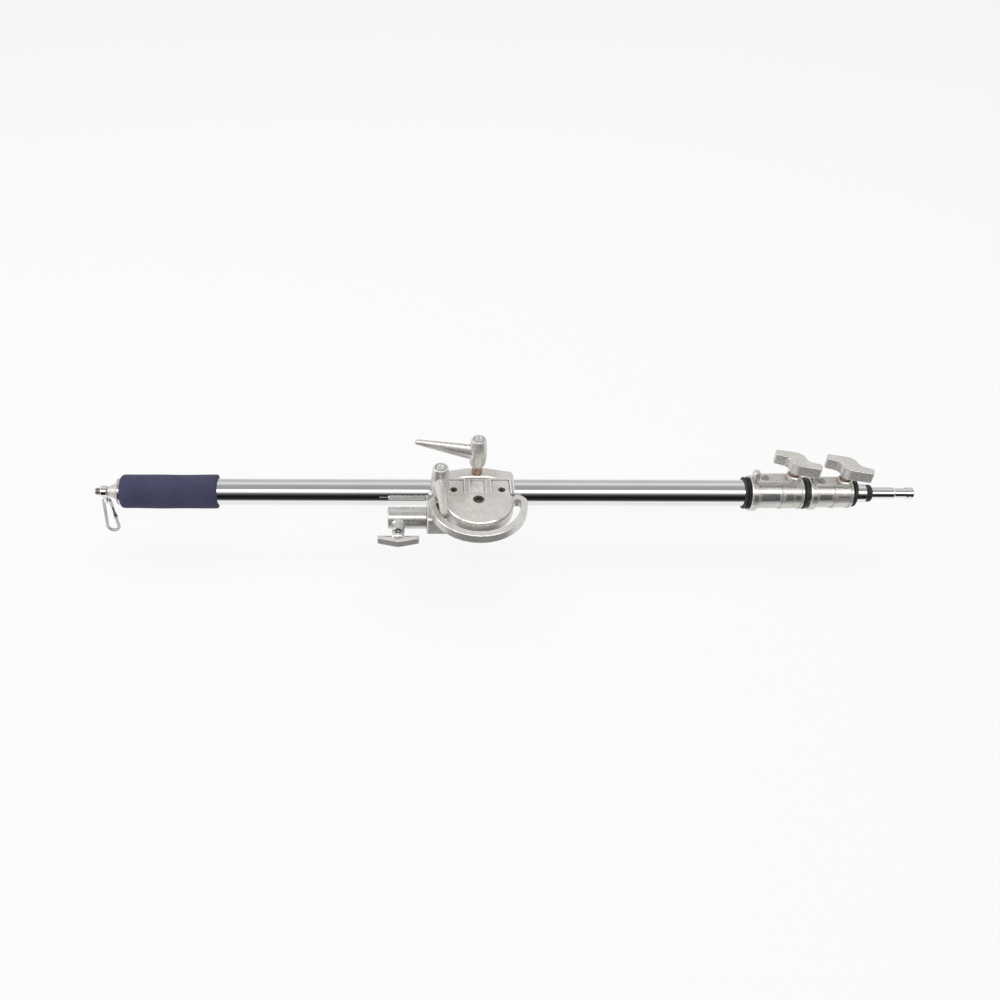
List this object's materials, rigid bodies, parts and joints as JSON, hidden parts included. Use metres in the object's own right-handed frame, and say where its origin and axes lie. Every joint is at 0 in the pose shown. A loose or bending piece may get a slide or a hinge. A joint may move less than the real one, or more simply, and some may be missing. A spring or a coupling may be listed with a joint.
{
  "type": "overhead boom arm",
  "caption": "Telescoping boom arm with a tilting cast head, slotted locking arc, clamp levers, wing knobs, foam grip and end spigot.",
  "frame": {"origin": "centre of the receiver's mouth, where the stand's stud goes in", "axes": "+X along the folded boom towards its spigot, +Z out of the head's plate, +Y from the receiver towards the boom tube"},
  "size_m": [1.0714, 0.1556, 0.1639],
  "materials": {
    "cast_aluminium": "satin cast, lightly tumbled",
    "chrome": "polished plating",
    "satin_steel": "satin",
    "dark_steel": "blackened",
    "copper": "dull red brass",
    "black_rubber": "matte",
    "pale_plastic": "semi-matte moulded",
    "navy_foam": "closed-cell foam",
    "brake_nylon": "moulded"
  },
  "bodies": {
    "stand_side": {"receiver_bracket": "cast_aluminium", "receiver_tube": "satin_steel", "pivot_bolt": "dark_steel", "pivot_washer": "satin_steel", "pivot_nut": "satin_steel", "friction_washer": "brake_nylon", "tilt_stud": "satin_steel", "slot_washer": "satin_steel", "tilt_collar": "copper"},
    "t_handle_body": {"t_handle": "cast_aluminium", "t_handle_screw": "satin_steel"},
    "tilt_lever_body": {"tilt_lever": "cast_aluminium", "tilt_lever_cap_screw": "chrome"},
    "head": {"head_casting": "cast_aluminium", "head_brake_shoe": "brake_nylon", "pinch_screw_left": "dark_steel", "pinch_screw_right": "dark_steel", "tube_collar": "copper"},
    "tube_lever_body": {"tube_lever": "cast_aluminium", "tube_lever_cap_screw": "chrome", "tube_lever_screw": "satin_steel"},
    "boom_tube": {"main_tube": "chrome", "foam_grip": "navy_foam", "rear_end_cap": "pale_plastic", "rear_stud": "satin_steel", "hook_eye": "chrome", "stop_ring": "black_rubber", "clamp_1_casting": "cast_aluminium", "clamp_1_shoe": "brake_nylon", "clamp_1_screw": "satin_steel", "knob_1_collar": "copper", "nose_band_1": "black_rubber"},
    "knob_1_body": {"wing_knob_1": "cast_aluminium", "wing_knob_1_screw": "satin_steel"},
    "hook_body": {"hook_link": "chrome", "gate_pin": "satin_steel"},
    "gate_body": {"hook_gate": "dark_steel"},
    "section_2": {"section_2_tube": "chrome", "section_2_glide": "brake_nylon", "clamp_2_casting": "cast_aluminium", "clamp_2_shoe": "brake_nylon", "clamp_2_screw": "satin_steel", "knob_2_collar": "copper", "nose_band_2": "black_rubber"},
    "knob_2_body": {"wing_knob_2": "cast_aluminium", "wing_knob_2_screw": "satin_steel"},
    "section_3": {"section_3_tube": "chrome", "section_3_glide": "brake_nylon", "tube_end_ring": "black_rubber", "spigot": "chrome"}
  },
  "joints": [
    {"name": "boom_tilt", "type": "hinge", "parent": "stand_side", "child": "head", "pos_m": [0.1143, 0, 0], "axis": [0, 0, -1], "range_deg": [0, 150]},
    {"name": "t_handle_turn", "type": "hinge", "parent": "stand_side", "child": "t_handle_body", "pos_m": [0.0135, 0, 0], "axis": [0, -1, 0], "continuous": true},
    {"name": "tilt_lever_turn", "type": "hinge", "parent": "stand_side", "child": "tilt_lever_body", "pos_m": [0.0653, 0, 0], "axis": [0, 0, 1], "range_deg": [-110, 10]},
    {"name": "tube_lever_turn", "type": "hinge", "parent": "head", "child": "tube_lever_body", "pos_m": [0.1143, 0.0488, 0], "axis": [0, 0, 1], "range_deg": [-140, 10]},
    {"name": "tube_slide", "type": "slide", "parent": "head", "child": "boom_tube", "axis": [1, 0, 0], "range_m": [-0.3, 0.289]},
    {"name": "knob_1_turn", "type": "hinge", "parent": "boom_tube", "child": "knob_1_body", "pos_m": [0.5238, 0.0488, 0], "axis": [0, 0, 1], "continuous": true},
    {"name": "hook_swing", "type": "hinge", "parent": "boom_tube", "child": "hook_body", "pos_m": [-0.372, 0.0488, -0.0132], "axis": [1, 0, 0], "range_deg": [-85, 85]},
    {"name": "gate_open", "type": "hinge", "parent": "hook_body", "child": "gate_body", "pos_m": [-0.36559, 0.0488, -0.04547], "axis": [0, -1, 0], "range_deg": [0, 16], "stiffness_Nm_per_rad": 0.02, "springref_deg": -17.19},
    {"name": "section_2_slide", "type": "slide", "parent": "boom_tube", "child": "section_2", "axis": [1, 0, 0], "range_m": [0, 0.457]},
    {"name": "knob_2_turn", "type": "hinge", "parent": "section_2", "child": "knob_2_body", "pos_m": [0.5919, 0.0488, 0], "axis": [0, 0, 1], "continuous": true},
    {"name": "section_3_slide", "type": "slide", "parent": "section_2", "child": "section_3", "axis": [1, 0, 0], "range_m": [0, 0.457]}
  ]
}
